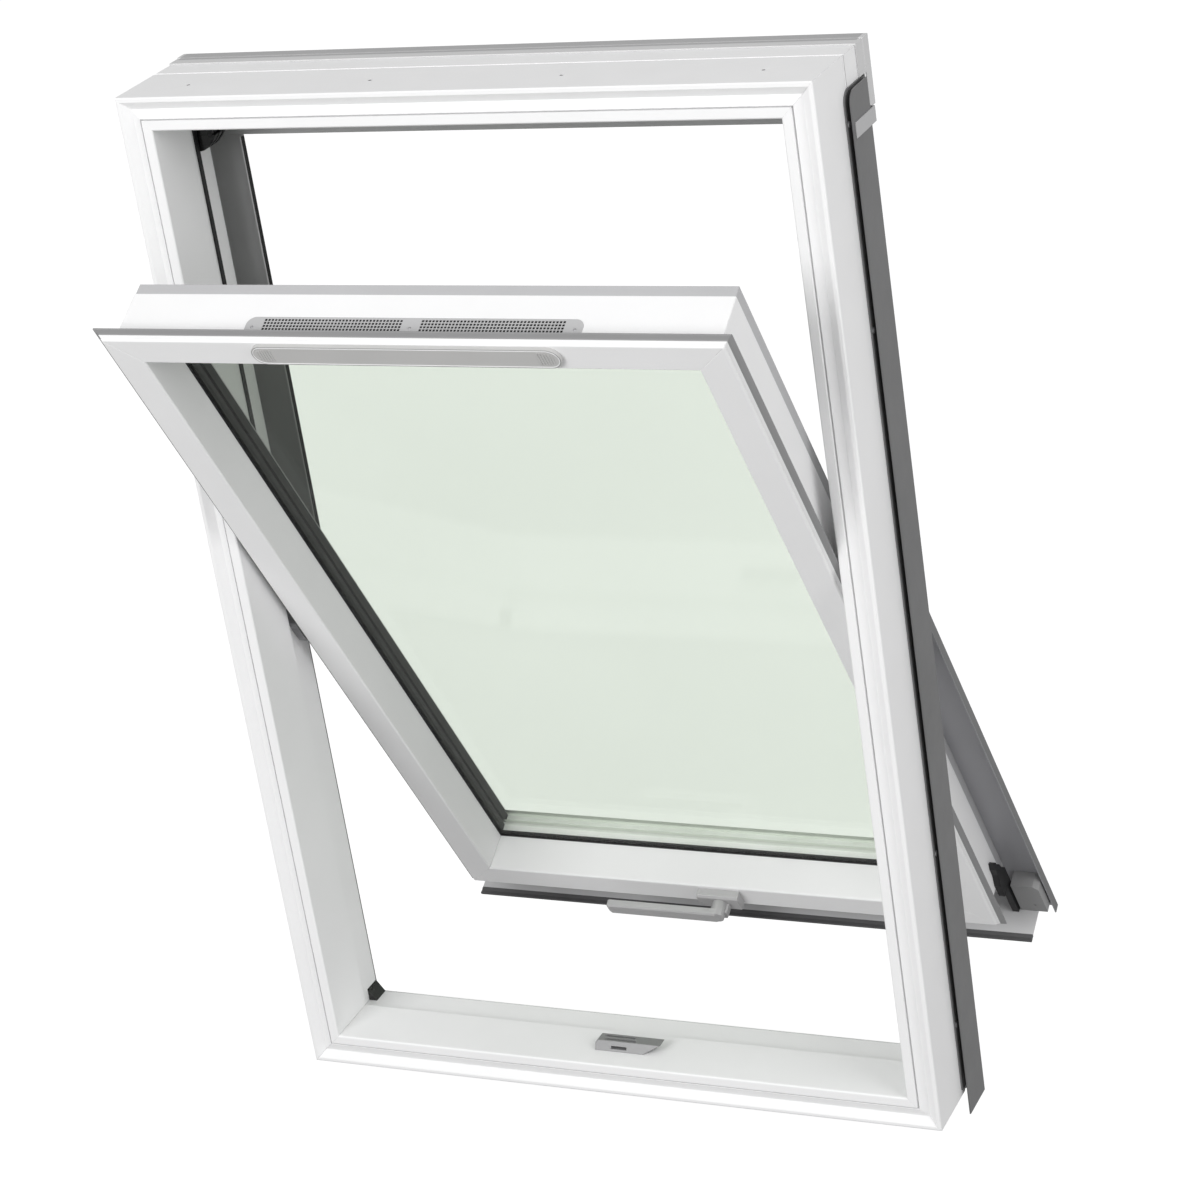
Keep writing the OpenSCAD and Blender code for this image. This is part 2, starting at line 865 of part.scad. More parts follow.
// Perforated plate over the air duct in the sash's top edge
module vent_grille() {
    corner = 10;
    y0 = sash_lip + gasket_foot + seat;
    field = (grille_cols - 1) * grille_pitch;
    start = 12;
    last_row = y0 + grille_d - grille_pitch;
    color(LIGHT) swung() translate([0, 0, sash_top - body_e]) linear_extrude(height = grille_t)
        difference() {
            union() {
                translate([-grille_w / 2, y0]) square([grille_w, grille_d - corner]);
                translate([-grille_w / 2 + corner, y0]) square([grille_w - 2 * corner, grille_d]);
                for (x = [-1, 1]) translate([x * (grille_w / 2 - corner), y0 + grille_d - corner])
                    circle(r = corner);
            }
            for (half = [-1, 1]) for (col = [0:grille_cols - 1]) for (row = [0:grille_rows - 1])
                translate([half * (start + col * grille_pitch), last_row - row * grille_pitch])
                    square(grille_hole, center = true);
        }
}

// Dark filter strip in the duct under the grille
module vent_filter() {
    color(BLACK) swung() translate([-duct_w / 2, duct_y, sash_top - body_e - filter_h])
        cube([duct_w, duct_d, filter_h]);
}

// Small screws at the ends and the middle of the grille
module grille_screws() {
    head_r = 1.8;
    head_h = 0.8;
    y0 = sash_lip + gasket_foot + seat + grille_d / 2;
    reach = grille_w / 2 - 8;
    color(GREY) swung() for (x = [-reach, 0, reach])
        translate([x, y0, sash_top - body_e + grille_t]) cylinder(h = head_h, r1 = head_r, r2 = head_r / 2);
}

// Block on the bottom rail that carries the lever's pivot
module handle_bracket() {
    slant_x = 14;
    slant_z = 12;
    bevel = 3;
    half = bracket_w / 2;
    color(GREY) swung() difference() {
        translate([0, -bracket_d, pivot_z + bracket_h / 2]) along_y(bracket_d) polygon([
            [-half, 0], [half, 0], [half, -bracket_h], [slant_x - half, -bracket_h],
            [-half, slant_z - bracket_h]]);
        translate([0, -bracket_d, pivot_z + bracket_h / 2]) along_x(bracket_w + 2 * cut)
            polygon([[-cut, -bevel - cut], [-cut, cut], [bevel + cut, cut]]);
        translate([pivot_x, -bracket_d - cut, pivot_z]) rotate([-90, 0, 0])
            cylinder(h = bracket_d + cut, r = pivot_r + pivot_fit);
    }
}

// Moving pieces on the sash

// Flap with ribbed ends that tilts about its lower edge
module vent_flap() {
    r = flap_h / 2;
    rib_t = 1.2;
    rib_h = 0.6;
    face = 1;
    color(LIGHT) swung() translate([0, -flap_t, sash_top - flap_top - r]) {
        along_y(flap_t) {
            square([flap_w - 2 * r, flap_h], center = true);
            for (x = [-1, 1]) translate([x * (flap_w / 2 - r), 0]) circle(r = r);
        }
        for (side = [-1, 1]) for (i = [0:5])
            translate([side * (flap_w / 2 - r + 6 - 3 * i), -rib_h, 0]) along_y(rib_h + face)
                square([rib_t, flap_h - 2 * r / 3 - 2 * max(0, 3 - i)], center = true);
    }
}

// Pin, arm, bar and latch tail of the handle
module handle_lever() {
    arm_y = -bracket_d - seat;
    bar_front = -bar_gap - bar_t;
    bar_end = pivot_x + 3 - bar_l;
    corner = 4;
    bevel = 2;
    arm_w = 19;
    tail_w = 9;
    tail_drop = 12;
    color(GREY) swung() translate([0, 0, pivot_z]) {
        translate([pivot_x, arm_y, 0]) rotate([-90, 0, 0])
            cylinder(h = bracket_d, r = pivot_r);
        translate([pivot_x, bar_front + bevel, 0]) rotate([-90, 0, 0])
            cylinder(h = arm_y - bar_front - bevel, r = arm_w / 2);
        hull() {
            translate([0, bar_front, 0]) along_y(bevel)
                translate([bar_end + corner, -bar_h / 2 + bevel])
                    square([bar_l - 2 * corner, bar_h - 2 * bevel]);
            translate([0, bar_front + bevel, 0]) along_y(bar_t - bevel)
                for (x = [bar_end + corner, bar_end + bar_l - corner])
                    for (z = [-1, 1]) translate([x, z * (bar_h / 2 - corner)])
                        circle(r = corner, $fn = 32);
        }
        translate([pivot_x, bar_front + bar_t, 0]) along_y(arm_y - bar_front - bar_t)
            polygon([[0, 0], [arm_w / 2 + 3, 2], [arm_w / 2 + 3, -tail_drop / 2], [tail_w, -tail_drop],
                [tail_w - 4, -tail_drop], [0, -arm_w / 2]]);
    }
}

frame_head();
frame_sill();
frame_jamb_left();
frame_jamb_right();
head_trim();
head_cover();
side_channel_left();
side_channel_right();
upper_cover_left();
upper_cover_right();
lower_cover_left();
lower_cover_right();
sill_cover();
strap_left();
strap_right();
cover_screws();
jamb_gasket_left();
jamb_gasket_right();
head_gasket();
corner_seal_top_left();
corner_seal_top_right();
corner_seal_bottom_left();
corner_seal_bottom_right();
keeper();
hinge_rail_left();
hinge_rail_right();
sash_top_rail();
sash_bottom_rail();
sash_stile_left();
sash_stile_right();
sash_gasket_top();
sash_gasket_bottom();
sash_gasket_left();
sash_gasket_right();
glazing_cap_top();
glazing_cap_bottom();
glazing_cap_left();
glazing_cap_right();
pane_inner();
pane_middle();
pane_outer();
spacer_inner();
spacer_outer();
skirt_left();
skirt_right();
apron();
apron_lip();
apron_block_left();
apron_block_right();
closure_left();
closure_right();
hinge_arm_left();
hinge_arm_right();
vent_grille();
vent_filter();
grille_screws();
handle_bracket();
vent_flap();
handle_lever();
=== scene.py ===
import json
import math

import bmesh
import bpy
from mathutils import Matrix, Vector


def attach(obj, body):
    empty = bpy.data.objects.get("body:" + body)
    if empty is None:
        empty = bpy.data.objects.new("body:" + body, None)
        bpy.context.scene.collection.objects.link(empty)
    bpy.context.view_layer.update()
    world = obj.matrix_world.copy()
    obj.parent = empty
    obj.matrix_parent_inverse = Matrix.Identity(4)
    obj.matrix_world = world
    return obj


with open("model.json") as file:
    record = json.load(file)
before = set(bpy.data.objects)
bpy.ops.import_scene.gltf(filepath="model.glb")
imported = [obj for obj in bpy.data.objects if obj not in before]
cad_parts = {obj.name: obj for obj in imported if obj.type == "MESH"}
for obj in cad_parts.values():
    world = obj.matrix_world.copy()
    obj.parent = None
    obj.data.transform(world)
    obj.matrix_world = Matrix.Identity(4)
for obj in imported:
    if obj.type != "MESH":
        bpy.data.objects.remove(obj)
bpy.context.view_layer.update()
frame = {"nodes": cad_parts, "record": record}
nodes = frame["nodes"]
scene = bpy.context.scene

# Lengths are in metres. The sash is measured closed and stands open by this turn about the hinge axis.
OPEN = Matrix.Rotation(math.radians(30.0), 4, "X")
AXIS = Vector((0.0, 0.16105, 0.59))
HINGE_BACK = 0.1538

# Directions of the open sash, down along its glass and in from its front, and of the frame
SASH_DOWN = (0.0, 0.5, -0.8660254)
SASH_IN = (0.0, 0.8660254, 0.5)
BACK = (0.0, 1.0, 0.0)
UP = (0.0, 0.0, 1.0)
RIGHT = (1.0, 0.0, 0.0)
LEFT = (-1.0, 0.0, 0.0)


# Materials

# The middle part of a noise, which is spread over a finish's whole range
NOISE_LOW = 0.3
NOISE_HIGH = 0.7
GLOSS_FINER = 4
GLOSS_SPREAD = 0.15
GRAIN_STRENGTH = 0.25
SHEEN_ROUGHNESS = 0.03
SHEEN_POWER = 4.0


def new_material(name):
    """An empty node material with its principled shader and texture coordinates."""
    mat = bpy.data.materials.new(name)
    mat.use_nodes = True
    tree = mat.node_tree
    coords = tree.nodes.new("ShaderNodeTexCoord")
    return mat, tree, tree.nodes["Principled BSDF"], coords


def noise(tree, vector, scale, detail, stretch=None):
    """Noise in metres, stretched along an axis where the finish has a direction."""
    node = tree.nodes.new("ShaderNodeTexNoise")
    node.inputs["Scale"].default_value = scale
    node.inputs["Detail"].default_value = detail
    if stretch:
        mapping = tree.nodes.new("ShaderNodeMapping")
        mapping.inputs["Scale"].default_value = stretch
        tree.links.new(vector, mapping.inputs["Vector"])
        vector = mapping.outputs["Vector"]
    tree.links.new(vector, node.inputs["Vector"])
    return node.outputs["Fac"]


def ramp(tree, fac, low, high):
    """A noise turned into a colour between two."""
    node = tree.nodes.new("ShaderNodeValToRGB")
    node.color_ramp.elements[0].position = NOISE_LOW
    node.color_ramp.elements[1].position = NOISE_HIGH
    node.color_ramp.elements[0].color = low
    node.color_ramp.elements[1].color = high
    tree.links.new(fac, node.inputs["Fac"])
    return node.outputs["Color"]


def span(tree, fac, low, high):
    """A noise turned into a value between two."""
    node = tree.nodes.new("ShaderNodeMapRange")
    node.inputs["From Min"].default_value = NOISE_LOW
    node.inputs["From Max"].default_value = NOISE_HIGH
    node.inputs["To Min"].default_value = low
    node.inputs["To Max"].default_value = high
    tree.links.new(fac, node.inputs["Value"])
    return node.outputs["Result"]


def bump(tree, fac, shader, distance):
    """A noise turned into a fine grain of the surface."""
    node = tree.nodes.new("ShaderNodeBump")
    node.inputs["Strength"].default_value = GRAIN_STRENGTH
    node.inputs["Distance"].default_value = distance
    tree.links.new(fac, node.inputs["Height"])
    tree.links.new(node.outputs["Normal"], shader.inputs["Normal"])


def drift(tree, vector, colour, vary, cloud, stretch=None):
    """A colour that drifts slowly over the surface."""
    low = tuple(c * (1 - vary) for c in colour) + (1,)
    high = tuple(min(1.0, c * (1 + vary)) for c in colour) + (1,)
    return ramp(tree, noise(tree, vector, cloud, 4, stretch), low, high)


def beyond(tree, vector, direction, limit):
    """One where the vector reaches past the limit in a direction, else nought."""
    dot = tree.nodes.new("ShaderNodeVectorMath")
    dot.operation = "DOT_PRODUCT"
    dot.inputs[1].default_value = direction
    tree.links.new(vector, dot.inputs[0])
    past = tree.nodes.new("ShaderNodeMath")
    past.operation = "GREATER_THAN"
    past.inputs[1].default_value = limit
    tree.links.new(dot.outputs["Value"], past.inputs[0])
    return past.outputs["Value"]


def both(tree, first, second):
    """One where two masks are one."""
    node = tree.nodes.new("ShaderNodeMath")
    node.operation = "MULTIPLY"
    tree.links.new(first, node.inputs[0])
    tree.links.new(second, node.inputs[1])
    return node.outputs["Value"]


def mixed(tree, fac, first, second):
    """The first colour where the mask is nought, the second where it is one."""
    mix = tree.nodes.new("ShaderNodeMix")
    mix.data_type = "RGBA"
    tree.links.new(fac, mix.inputs[0])
    tree.links.new(first, mix.inputs[6])
    tree.links.new(second, mix.inputs[7])
    return mix.outputs[2]


def finish_material(name, colour, vary, rough, grain, depth, metallic=0.0, specular=0.5, coat=0.0,
                    cloud=9.0, stretch=None, other=None):
    """A moulded or coated surface: slow colour drift, uneven gloss and a fine grain.

    other is (output, [(direction, limit), ...], colour) for a second colour on part of the piece."""
    mat, tree, shader, coords = new_material(name)
    place = coords.outputs["Object"]
    base = drift(tree, place, colour, vary, cloud, stretch)
    if other:
        output, limits, second = other
        share = None
        for direction, limit in limits:
            past = beyond(tree, coords.outputs[output], direction, limit)
            share = past if share is None else both(tree, share, past)
        base = mixed(tree, share, base, drift(tree, place, second, vary, cloud, stretch))
    tree.links.new(base, shader.inputs["Base Color"])
    gloss = noise(tree, place, GLOSS_FINER * cloud, 3, stretch)
    tree.links.new(span(tree, gloss, rough * (1 - GLOSS_SPREAD), rough * (1 + GLOSS_SPREAD)),
                   shader.inputs["Roughness"])
    bump(tree, noise(tree, place, grain, 2, stretch), shader, depth)
    shader.inputs["Metallic"].default_value = metallic
    shader.inputs["Specular IOR Level"].default_value = specular
    shader.inputs["Coat Weight"].default_value = coat
    return mat


def glass_material(name, tint, slant_sheen, sheen_floor, seat=None):
    """A clear pane: tinted see-through with a mirror-like sheen that grows at a slant.

    seat is (limit down the sash, colour) for the pane's lowest strip, painted light in an opaque colour
    over the shade of the narrow slots at the glass's foot."""
    mat, tree, shader, coords = new_material(name)
    tree.nodes.remove(shader)
    place = coords.outputs["Object"]
    clear = tree.nodes.new("ShaderNodeBsdfTransparent")
    tree.links.new(drift(tree, place, tint, vary=0.004, cloud=2.0), clear.inputs["Color"])
    sheen = tree.nodes.new("ShaderNodeBsdfGlossy")
    sheen.inputs["Roughness"].default_value = SHEEN_ROUGHNESS
    slant = tree.nodes.new("ShaderNodeLayerWeight")
    slant.inputs["Blend"].default_value = 0.5
    power = tree.nodes.new("ShaderNodeMath")
    power.operation = "POWER"
    power.inputs[1].default_value = SHEEN_POWER
    tree.links.new(slant.outputs["Facing"], power.inputs[0])
    share = tree.nodes.new("ShaderNodeMath")
    share.operation = "MULTIPLY_ADD"
    share.inputs[1].default_value = slant_sheen
    share.inputs[2].default_value = sheen_floor
    tree.links.new(power.outputs["Value"], share.inputs[0])
    mix = tree.nodes.new("ShaderNodeMixShader")
    tree.links.new(share.outputs["Value"], mix.inputs["Fac"])
    tree.links.new(clear.outputs["BSDF"], mix.inputs[1])
    tree.links.new(sheen.outputs["BSDF"], mix.inputs[2])
    surface = mix.outputs["Shader"]
    if seat:
        limit, colour = seat
        # Painted light: an opaque light diffuse takes the place of the glass over the shade in the slot
        seat_painted_light = tree.nodes.new("ShaderNodeBsdfDiffuse")
        tree.links.new(drift(tree, place, colour, vary=0.01, cloud=9.0), seat_painted_light.inputs["Color"])
        whole = tree.nodes.new("ShaderNodeMixShader")
        tree.links.new(beyond(tree, place, SASH_DOWN, limit), whole.inputs["Fac"])
        tree.links.new(surface, whole.inputs[1])
        tree.links.new(seat_painted_light.outputs["BSDF"], whole.inputs[2])
        surface = whole.outputs["Shader"]
    tree.links.new(surface, tree.nodes["Material Output"].inputs["Surface"])
    return mat


TINT = (0.953, 0.966, 0.949)
# Light colour of glass seen against a white ground, used as painted light on the spacers' bottom bars and
# the panes' lowest strips
SEAT_PAINTED_LIGHT = (0.94, 0.97, 0.92)
SPACER_BLACK = (0.006, 0.0065, 0.0065)
SHEET_DARK = (0.175, 0.175, 0.177)

# How far along a direction of the sash a finish changes; past the pane and spacer limits the surface is
# painted light
PANE_PAINTED_LIGHT_DOWN = 0.0659
SPACER_PAINTED_LIGHT_DOWN = 0.0718
SPACER_PAINTED_LIGHT_IN = 0.3357
GASKET_GREY_IN = 0.2857
# The head trim is darker behind this depth, between its corner legs
TRIM_DARK_BACK = 0.0700
TRIM_DARK_HALF = 0.388
# The share of a direction from which on a face counts as facing that way
FACING = 0.5

GASKET_GREY = ("Object", [(SASH_IN, GASKET_GREY_IN)], (0.28, 0.28, 0.283))
# Painted light: the bottom bars of the black spacers are painted light, and on the room-side spacer a
# strip at the front stays black
SPACER_PAINTED_LIGHT = ("Object", [(SASH_DOWN, SPACER_PAINTED_LIGHT_DOWN)], SEAT_PAINTED_LIGHT)
SPACER_PAINTED_LIGHT_BEHIND = ("Object", [(SASH_DOWN, SPACER_PAINTED_LIGHT_DOWN), (SASH_IN, SPACER_PAINTED_LIGHT_IN)], SEAT_PAINTED_LIGHT)
TRIM_DARK = ("Object", [(BACK, TRIM_DARK_BACK), (RIGHT, -TRIM_DARK_HALF), (LEFT, -TRIM_DARK_HALF)],
             (0.42, 0.42, 0.424))
# Painted light: the sill cover's upward faces are painted near white over its dark sheet
SILL_TOP_PAINTED_LIGHT = ("Normal", [(UP, FACING)], (0.85, 0.85, 0.853))
SKIRT_DARK = ("Normal", [(SASH_IN, -FACING)], SHEET_DARK)

# Colour, colour drift, roughness, grain per metre, depth of the grain, other settings
FINISHES = {
    "pvc_white": ((0.90, 0.90, 0.903), 0.012, 0.48, 900, 0.00006, {"specular": 0.35}),
    "light_sheet": ((0.50, 0.50, 0.505), 0.03, 0.38, 1400, 0.00004, {}),
    "dark_sheet": (SHEET_DARK, 0.05, 0.42, 1600, 0.00005, {}),
    "strip_sheet": ((0.50, 0.50, 0.51), 0.03, 0.36, 1400, 0.00004, {}),
    "black_rubber": ((0.012, 0.012, 0.013), 0.15, 0.5, 1200, 0.00012, {}),
    "dark_rubber": ((0.085, 0.085, 0.087), 0.1, 0.5, 1200, 0.0001, {}),
    "black_foam": ((0.012, 0.012, 0.012), 0.3, 0.9, 700, 0.0006, {}),
    "grey_rubber": ((0.84, 0.84, 0.843), 0.03, 0.5, 1200, 0.0001, {"other": GASKET_GREY}),
    "spacer_black": (SPACER_BLACK, 0.15, 0.5, 1200, 0.00005, {"other": SPACER_PAINTED_LIGHT}),
    "grey_metal": ((0.50, 0.497, 0.50), 0.03, 0.35, 1800, 0.00005, {"metallic": 0.2}),
    "grey_plastic": ((0.31, 0.31, 0.312), 0.05, 0.5, 1200, 0.0001, {}),
    "vent_plastic": ((0.55, 0.547, 0.54), 0.03, 0.42, 1400, 0.00006, {}),
    "steel": ((0.42, 0.42, 0.43), 0.05, 0.34, 1500, 0.00005, {"metallic": 0.8, "stretch": (1, 1, 6)}),
    "head_trim": ((0.65, 0.65, 0.653), 0.02, 0.38, 1400, 0.00004, {"other": TRIM_DARK}),
    "spacer_room_side": (SPACER_BLACK, 0.15, 0.5, 1200, 0.00005, {"other": SPACER_PAINTED_LIGHT_BEHIND}),
    "sill_sheet": (SHEET_DARK, 0.05, 0.42, 1600, 0.00005, {"other": SILL_TOP_PAINTED_LIGHT}),
    "apron_sheet": ((0.64, 0.64, 0.645), 0.03, 0.38, 1400, 0.00004, {}),
    "keeper_metal": ((0.28, 0.28, 0.283), 0.03, 0.38, 1800, 0.00005, {"metallic": 0.35}),
    "skirt_sheet": ((0.40, 0.40, 0.42), 0.03, 0.4, 1600, 0.00005, {"other": SKIRT_DARK}),
    # Painted light: the upper and head covers are the same dark coated sheet, painted lighter all over
    "cover_sheet": ((0.37, 0.37, 0.373), 0.05, 0.4, 1600, 0.00005, {}),
    "seal_rubber": ((0.010, 0.010, 0.010), 0.15, 0.28, 1200, 0.00008, {"coat": 0.3}),
}
MATS = {}
for name, (colour, vary, rough, grain, depth, settings) in FINISHES.items():
    MATS[name] = finish_material(name, colour, vary, rough, grain, depth, **settings)
# The lowest strip of these panes is painted light
MATS["glass"] = glass_material("glass", TINT, slant_sheen=0.10, sheen_floor=0.002,
                               seat=(PANE_PAINTED_LIGHT_DOWN, SEAT_PAINTED_LIGHT))
MATS["glass_room_side"] = glass_material("glass_room_side", TINT, slant_sheen=0.55, sheen_floor=0.01)

# Single pieces whose finish differs a little from the rest of their slot; on the room-side spacer, the
# sill cover and the covers the difference is painted light
OWN_FINISH = {
    "pane_inner": "glass_room_side",
    "head_trim": "head_trim",
    "spacer_inner": "spacer_room_side",
    "sill_cover": "sill_sheet",
    "apron": "apron_sheet",
    "keeper": "keeper_metal",
    "skirt_left": "skirt_sheet",
    "skirt_right": "skirt_sheet",
    "upper_cover_left": "cover_sheet",
    "upper_cover_right": "cover_sheet",
    "head_cover": "cover_sheet",
    "corner_seal_top_left": "seal_rubber",
    "corner_seal_top_right": "seal_rubber",
    "corner_seal_bottom_left": "seal_rubber",
    "corner_seal_bottom_right": "seal_rubber",
}


# The CAD pieces, with softened edges

SLOT_OF = {s["node"]: s["material_slot"] for s in frame["record"]["subparts"]}
PANES = ("pane_inner", "pane_middle", "pane_outer")
NO_BEVEL = {"vent_grille", "spacer_inner", "spacer_outer", *PANES}
BEVEL = {"pvc_white": 0.0008, "grey_metal": 0.0008, "grey_plastic": 0.001, "vent_plastic": 0.0006}
FINE_BEVEL = 0.0003
BEVEL_FROM = math.radians(35)
WELD_WITHIN = 0.00002

for name in PANES:
    nodes[name].visible_shadow = False
for name, obj in nodes.items():
    slot = SLOT_OF[name]
    obj.data.materials.clear()
    obj.data.materials.append(MATS[OWN_FINISH.get(name, slot)])
    if name in NO_BEVEL:
        continue
    weld = obj.modifiers.new("weld", "WELD")
    weld.merge_threshold = WELD_WITHIN
    bevel = obj.modifiers.new("bevel", "BEVEL")
    bevel.width = BEVEL.get(slot, FINE_BEVEL)
    bevel.segments = 2
    bevel.limit_method = "ANGLE"
    bevel.angle_limit = BEVEL_FROM
    bevel.harden_normals = True


# Added pieces

def on_sash(x, depth, z):
    """A point of the closed sash, given by its depth behind the sash's front, in the shared frame."""
    return AXIS + OPEN @ Vector((x, depth - HINGE_BACK, z - AXIS.z))


def add_piece(name, verts, faces, body, slot, finish=None):
    """A piece of its own that rides on a body."""
    mesh = bpy.data.meshes.new(name)
    mesh.from_pydata(verts, [], faces)
    shape = bmesh.new()
    shape.from_mesh(mesh)
    bmesh.ops.recalc_face_normals(shape, faces=shape.faces)
    shape.to_mesh(mesh)
    shape.free()
    obj = bpy.data.objects.new(name, mesh)
    scene.collection.objects.link(obj)
    obj.data.materials.append(MATS[finish or slot])
    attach(obj, body)


def sweep(verts, faces, rings):
    """Join rings of points to a closed band, the last ring to the first."""
    start, count = len(verts), len(rings[0])
    for ring in rings:
        verts.extend(ring)
    for k in range(len(rings)):
        here = start + k * count
        after = start + (k + 1) % len(rings) * count
        for i in range(count):
            j = (i + 1) % count
            faces.append((here + i, here + j, after + j, after + i))


def prism(verts, faces, near, far):
    """Join two equal outlines to a straight solid."""
    start, count = len(verts), len(near)
    verts.extend(near)
    verts.extend(far)
    faces.append(tuple(range(start, start + count)))
    faces.append(tuple(range(start + count, start + 2 * count)))
    for i in range(count):
        j = (i + 1) % count
        faces.append((start + i, start + j, start + count + j, start + count + i))


REVEAL_HALF = 0.3076
REVEAL_LOW = 0.0861
REVEAL_HIGH = 1.0939
GLASS_DEPTH = 0.0488
# Steps in from the reveal and out from the glass
BEAD_SECTION = [(0.0, 0.0), (0.0014, 0.0), (0.0012, 0.0008), (0.0006, 0.0013), (0.0, 0.0014)]


def glass_bead(name):
    """Black bead around the reveal, against the room-side pane."""
    rings = []
    for side, upper in ((-1, False), (1, False), (1, True), (-1, True)):
        ring = []
        for out, rise in BEAD_SECTION:
            z = REVEAL_HIGH - out if upper else REVEAL_LOW + out
            ring.append(on_sash(side * (REVEAL_HALF - out), GLASS_DEPTH - rise, z))
        rings.append(ring)
    verts, faces = [], []
    sweep(verts, faces, rings)
    add_piece(name, verts, faces, "sash", "black_rubber")


TONGUE_ROOT = (0.3633, 1.1074)
TONGUE_CURVE = [(0.3633, 1.0890), (0.3570, 1.0902), (0.3510, 1.0935), (0.3455, 1.0985), (0.3410, 1.1040)]
TONGUE_TIP = (0.3390, 1.1074)
TONGUE_FRONT = 0.0380
RIDGES = 5
RIDGE_DEPTH = 0.0045
RIDGE_CUT = 0.0014


def seal_tongue(name, side):
    """Curved lower end of an upper corner seal, in thin ridges of which every second one is lower."""
    verts, faces = [], []
    for i in range(RIDGES):
        cut = RIDGE_CUT if i % 2 else 0.0
        outline = [TONGUE_ROOT]
        outline += [(x, z + cut) for x, z in TONGUE_CURVE]
        outline.append((TONGUE_TIP[0] + cut, TONGUE_TIP[1]))
        near, far = TONGUE_FRONT + RIDGE_DEPTH * i, TONGUE_FRONT + RIDGE_DEPTH * (i + 1)
        prism(verts, faces, [(side * x, near, z) for x, z in outline],
              [(side * x, far, z) for x, z in outline])
    add_piece(name, verts, faces, "frame", "black_rubber", "seal_rubber")


COVER_X = 0.338
COVER_LOW = 0.604
COVER_HIGH = 1.090
COVER_SEAL_Y = 0.0850
COVER_EDGE_Y = 0.08475
# Sections of the two profiles, as steps in X and Y from the cover's inner edge
SEAL_SECTION = [(0.0, 0.0), (-0.0012, 0.0004), (-0.0008, 0.0012), (-0.0014, 0.0020), (-0.0008, 0.0028),
                (-0.0014, 0.0036), (-0.0008, 0.0044), (-0.0012, 0.0052), (0.0, 0.0056)]
EDGE_SECTION = [(0.0, 0.0), (0.0015, 0.0), (0.0012, -0.0005), (0.0003, -0.0005)]


def upright(name, section, side, y, slot):
    """A thin profile that runs up the inner edge of an upper cover."""
    verts, faces = [], []
    outline = [(side * (COVER_X + dx), y + dy) for dx, dy in section]
    prism(verts, faces, [(px, py, COVER_LOW) for px, py in outline],
          [(px, py, COVER_HIGH) for px, py in outline])
    add_piece(name, verts, faces, "frame", slot)


GRILLE_FACE = 1.1213
STRIP_LOW = 0.0001
STRIP_HIGH = 0.0003
# Corners of a strip, in X and depth
STRIP_OUTLINE = [(0.1605, 0.0215), (0.1672, 0.0215), (0.1676, 0.0219), (0.1676, 0.0383), (0.1672, 0.0387),
                 (0.1605, 0.0387)]


def grille_shade(name):
    """Dark strips under the outermost holes of the grille: painted shade where these holes lie over the
    rail's PVC instead of the duct.
    """
    verts, faces = [], []
    low, high = GRILLE_FACE + STRIP_LOW, GRILLE_FACE + STRIP_HIGH
    for side in (-1, 1):
        prism(verts, faces, [on_sash(side * x, depth, low) for x, depth in STRIP_OUTLINE],
              [on_sash(side * x, depth, high) for x, depth in STRIP_OUTLINE])
    add_piece(name, verts, faces, "sash", "black_foam")


FLAP_HALF = 0.157
FLAP_RADIUS = 0.014
FLAP_FRONT = -0.004
FLAP_MIDDLE = 1.114
FLAP_STEPS = 24
# Shares of the line's width and rise
LINE_SECTION = [(0.0, 0.0), (0.1, 0.8), (0.5, 1.0), (0.9, 0.8), (1.0, 0.0)]


def flap_line(name, inset, width, rise, slot):
    """Fine raised line that follows the vent flap's rounded outline."""
    rings = []
    for end in (1, -1):
        for i in range(FLAP_STEPS + 1):
            angle = math.pi * (i / FLAP_STEPS - 0.5 * end)
            ring = []
            for across, up in LINE_SECTION:
                reach = FLAP_RADIUS - inset - across * width
                x = end * FLAP_HALF + reach * math.cos(angle)
                ring.append(on_sash(x, FLAP_FRONT - up * rise, FLAP_MIDDLE + reach * math.sin(angle)))
            rings.append(ring)
    verts, faces = [], []
    sweep(verts, faces, rings)
    add_piece(name, verts, faces, "vent_flap", slot)


HOLES_X = (-0.324, -0.108, 0.108, 0.324)
HOLES_Y = -0.01805
HEAD_TOP = 1.18
HOLE_SHADE_RADIUS = 0.00215
HOLE_SHADE_WALL = 0.0003
HOLE_SHADE_START = 0.0004
HOLE_SHADE_END = 0.018
HOLE_SHADE_STEPS = 20


def hole_shade(name):
    """Dark thin tubes in the head's fixing holes: painted shade for the holes' dark insides."""
    bore = HOLE_SHADE_RADIUS - HOLE_SHADE_WALL
    section = ((HOLE_SHADE_START, HOLE_SHADE_RADIUS), (HOLE_SHADE_START, bore), (HOLE_SHADE_END, bore),
               (HOLE_SHADE_END, HOLE_SHADE_RADIUS))
    angles = [2 * math.pi * i / HOLE_SHADE_STEPS for i in range(HOLE_SHADE_STEPS)]
    verts, faces = [], []
    for x in HOLES_X:
        rings = []
        for depth, r in section:
            rings.append([(x + r * math.cos(a), HOLES_Y + r * math.sin(a), HEAD_TOP - depth)
                          for a in angles])
        sweep(verts, faces, rings)
    add_piece(name, verts, faces, "frame", "black_rubber")


glass_bead("glass_bead")
for side, word in ((-1, "left"), (1, "right")):
    seal_tongue("seal_tongue_" + word, side)
    upright("cover_seal_" + word, SEAL_SECTION, side, COVER_SEAL_Y, "black_rubber")
    upright("cover_edge_" + word, EDGE_SECTION, side, COVER_EDGE_Y, "light_sheet")
grille_shade("grille_shade")
# Painted shadow and highlight: the dark line stands for the shade of the gap round the vent flap, the
# white rim for a highlight on its edge
flap_line("flap_line", inset=0.0007, width=0.0007, rise=0.0002, slot="grey_plastic")
flap_line("flap_rim", inset=0.0016, width=0.0009, rise=0.0005, slot="pvc_white")
hole_shade("hole_shade")


# Floor, light and camera

